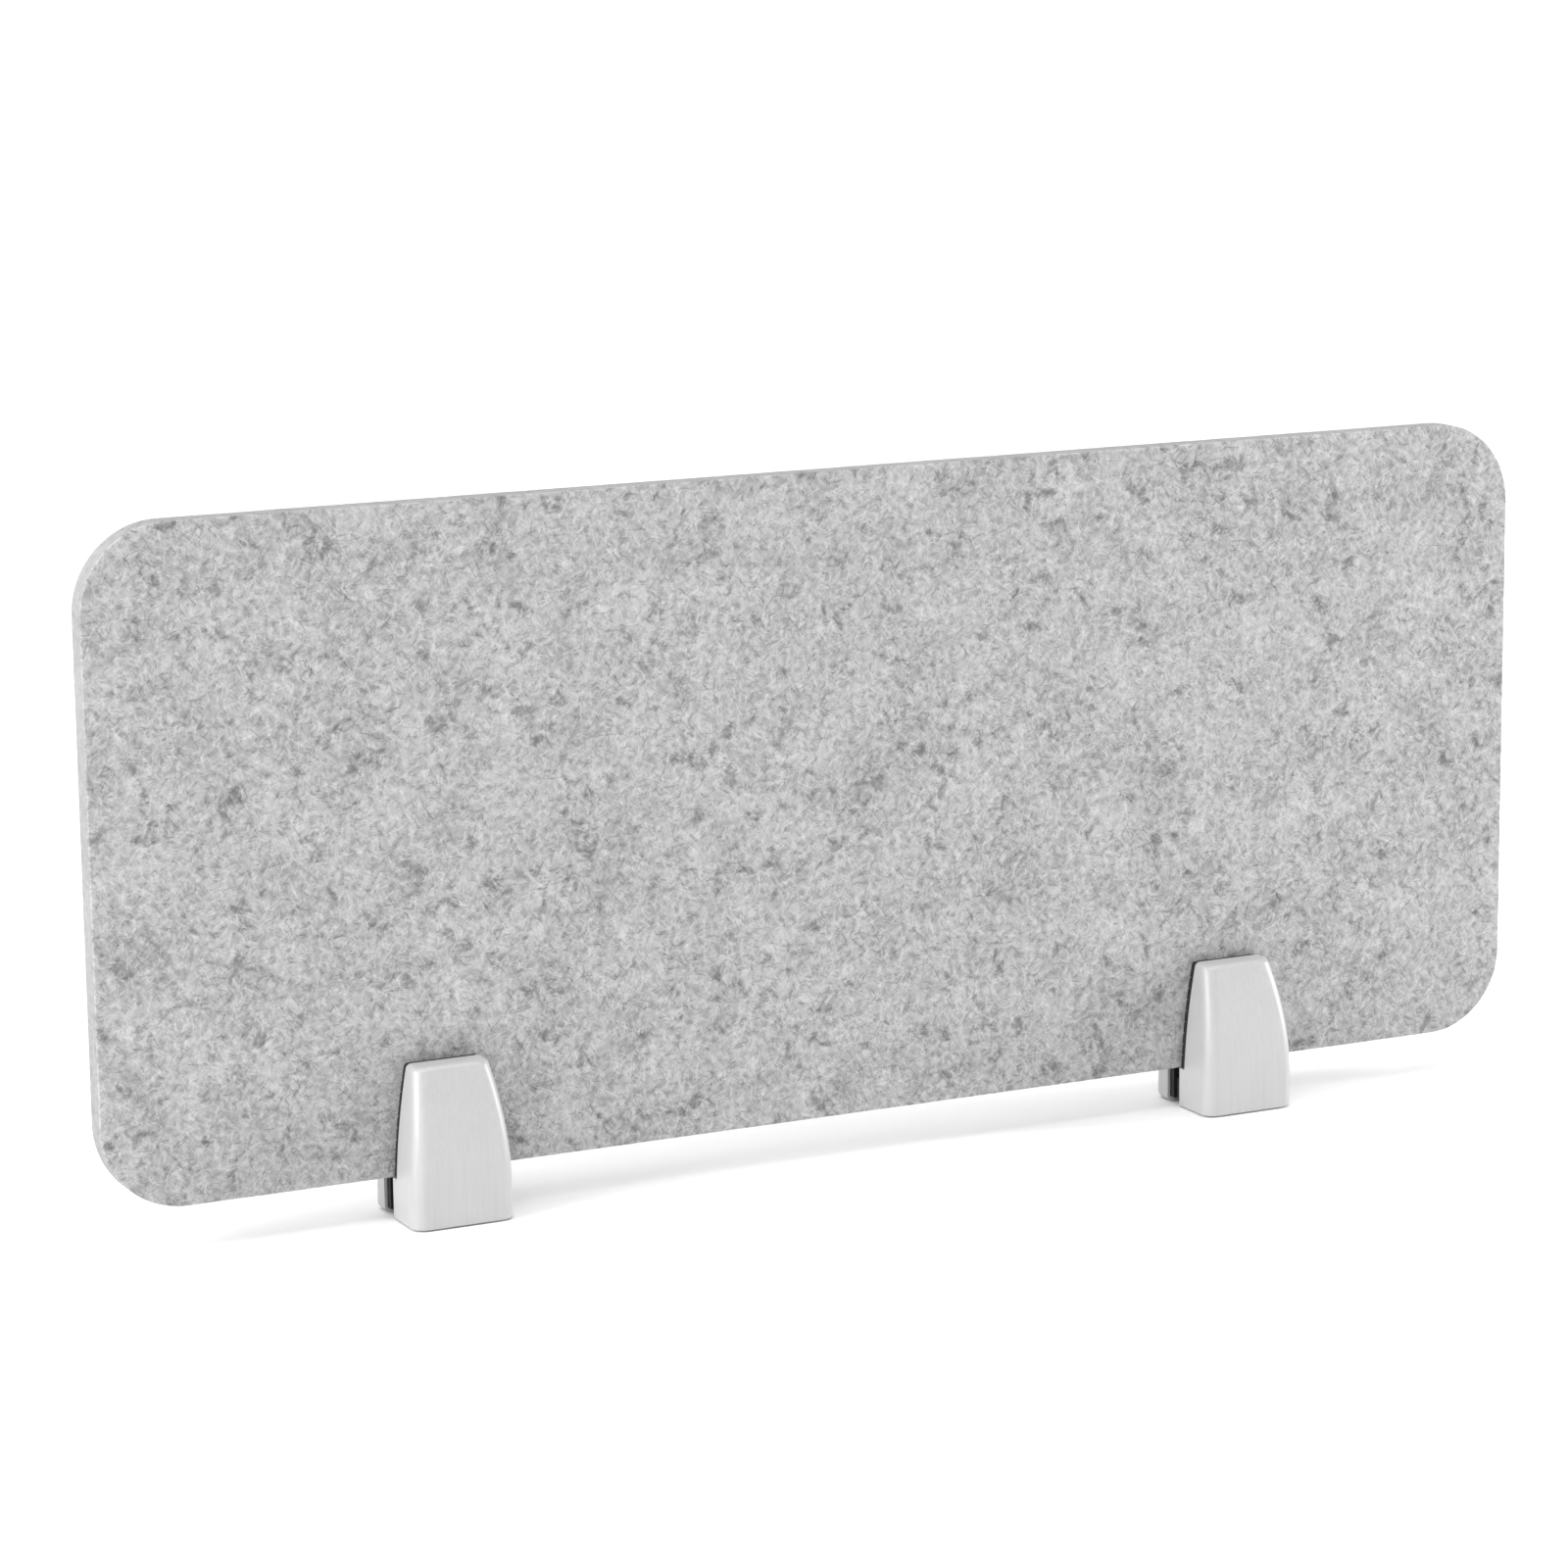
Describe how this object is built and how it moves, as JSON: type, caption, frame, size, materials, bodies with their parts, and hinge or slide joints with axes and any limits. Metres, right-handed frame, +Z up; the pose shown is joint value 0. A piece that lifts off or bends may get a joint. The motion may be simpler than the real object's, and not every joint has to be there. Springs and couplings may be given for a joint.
{
  "type": "desk privacy panel",
  "caption": "Long low felt privacy board with rounded corners, held upright on a desk by clamp feet whose rear jaws are drawn in by a thumb screw.",
  "frame": {"origin": "on the desk surface, under the middle of the board: the bottom centre of the whole object", "axes": "+Z up, +X along the board, +Y from the tall front face of the feet through the board to the thumb knobs"},
  "size_m": [1.2, 0.106, 0.532],
  "materials": {
    "pet_felt": "pressed polyester felt board, heather grey, matt",
    "satin_silver_paint": "satin light silver-grey paint on die-cast metal",
    "black_nylon": "moulded black glass-filled nylon",
    "black_knob_nylon": "fine-textured black moulded nylon",
    "black_rubber": "matt black moulded rubber",
    "zinc_plated_steel": "bright zinc-plated steel",
    "ground_steel": "ground hardened steel dowel",
    "brass_insert": "turned brass"
  },
  "bodies": {
    "stand": {"felt_board": "pet_felt", "left_front_cover": "satin_silver_paint", "left_front_frame": "black_nylon", "left_front_grip_pad": "black_rubber", "left_front_foot_pad": "black_rubber", "left_front_cover_screws": "zinc_plated_steel", "left_threaded_insert": "brass_insert", "left_guide_pins": "ground_steel", "right_front_cover": "satin_silver_paint", "right_front_frame": "black_nylon", "right_front_grip_pad": "black_rubber", "right_front_foot_pad": "black_rubber", "right_front_cover_screws": "zinc_plated_steel", "right_threaded_insert": "brass_insert", "right_guide_pins": "ground_steel"},
    "left_rear_jaw": {"left_rear_cover": "satin_silver_paint", "left_rear_frame": "black_nylon", "left_rear_grip_pad": "black_rubber", "left_rear_foot_pad": "black_rubber", "left_rear_cover_screws": "zinc_plated_steel"},
    "left_screw": {"left_clamp_screw": "zinc_plated_steel", "left_clamp_knob": "black_knob_nylon", "left_knob_washer": "zinc_plated_steel", "left_retaining_ring": "zinc_plated_steel"},
    "right_rear_jaw": {"right_rear_cover": "satin_silver_paint", "right_rear_frame": "black_nylon", "right_rear_grip_pad": "black_rubber", "right_rear_foot_pad": "black_rubber", "right_rear_cover_screws": "zinc_plated_steel"},
    "right_screw": {"right_clamp_screw": "zinc_plated_steel", "right_clamp_knob": "black_knob_nylon", "right_knob_washer": "zinc_plated_steel", "right_retaining_ring": "zinc_plated_steel"}
  },
  "joints": [
    {"name": "left_jaw_slide", "type": "slide", "parent": "stand", "child": "left_rear_jaw", "axis": [0, 1, 0], "range_m": [0, 0.006]},
    {"name": "left_screw_turn", "type": "hinge", "parent": "left_rear_jaw", "child": "left_screw", "pos_m": [-0.3365, 0.0425, 0.0265], "axis": [0, 1, 0], "range_deg": [0, 1728]},
    {"name": "right_jaw_slide", "type": "slide", "parent": "stand", "child": "right_rear_jaw", "axis": [0, 1, 0], "range_m": [0, 0.006]},
    {"name": "right_screw_turn", "type": "hinge", "parent": "right_rear_jaw", "child": "right_screw", "pos_m": [0.3365, 0.0425, 0.0265], "axis": [0, 1, 0], "range_deg": [0, 1728]}
  ],
  "couplings": [
    {"joint": "left_screw_turn", "follows": "left_jaw_slide", "rad_per_m": 5026.5},
    {"joint": "right_screw_turn", "follows": "right_jaw_slide", "rad_per_m": 5026.5}
  ]
}
